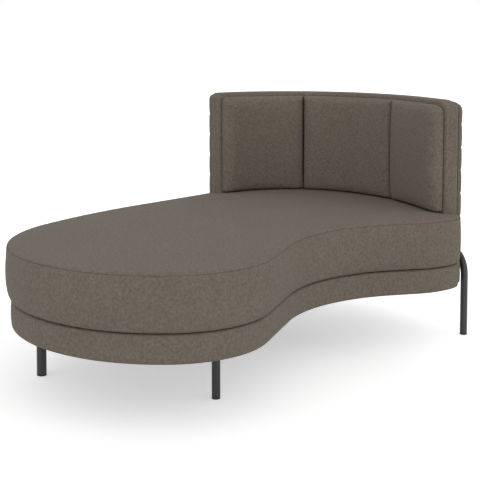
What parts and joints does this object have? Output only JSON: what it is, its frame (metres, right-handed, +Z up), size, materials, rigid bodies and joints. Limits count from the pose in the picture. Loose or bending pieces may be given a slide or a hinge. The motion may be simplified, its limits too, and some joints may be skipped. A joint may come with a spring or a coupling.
{
  "type": "chaise longue",
  "caption": "Kidney-shaped chaise longue with a thick seat cushion on an inset padded base, a curved channelled back round the head end and dark tube legs.",
  "frame": {"origin": "middle of the whole object's bounding box in plan, on the floor", "axes": "+X from the foot end to the head end with the backrest, +Y towards the long rear edge, +Z up"},
  "size_m": [1.7468, 1.0945, 0.824],
  "materials": {
    "upholstery_fabric": "fine plain weave, taupe",
    "lining": "thin non-woven lining",
    "webbing": "elastic upholstery webbing",
    "foam": "polyurethane foam and fibre",
    "plywood": "bare plywood and softwood",
    "black_steel": "black powder coat, satin",
    "zinc_steel": "zinc plated",
    "black_plastic": "moulded, matt"
  },
  "bodies": {
    "root": {"seat_cover_top": "upholstery_fabric", "seat_cover_band": "upholstery_fabric", "seat_cover_bottom": "lining", "seat_foam_core": "foam", "seat_topper": "foam", "base_bottom_board": "plywood", "base_deck_board": "plywood", "base_side_band": "plywood", "base_leg_blocks": "plywood", "base_cross_rail": "plywood", "base_webbing": "webbing", "base_padding": "foam", "base_cover": "upholstery_fabric", "dust_cover": "lining", "back_rim_cover": "upholstery_fabric", "back_padding": "foam", "back_inner_panel": "plywood", "back_outer_panel": "plywood", "back_bottom_rail": "plywood", "back_top_rail": "plywood", "back_posts": "plywood", "back_quilted_panel": "upholstery_fabric", "back_channel_right": "upholstery_fabric", "back_channel_middle": "upholstery_fabric", "back_channel_left": "upholstery_fabric", "rear_frame_tube": "black_steel", "rear_frame_standoffs": "black_steel", "rear_frame_bolts": "zinc_steel", "rear_frame_washers": "zinc_steel", "rear_glide_right": "black_plastic", "rear_glide_left": "black_plastic", "foot_leg_tube": "black_steel", "foot_leg_plate": "black_steel", "foot_leg_glide": "black_plastic", "foot_leg_screws": "zinc_steel", "front_leg_tube": "black_steel", "front_leg_plate": "black_steel", "front_leg_glide": "black_plastic", "front_leg_screws": "zinc_steel", "back_rail_bolts": "zinc_steel", "back_rail_nuts": "zinc_steel"}
  },
  "joints": []
}
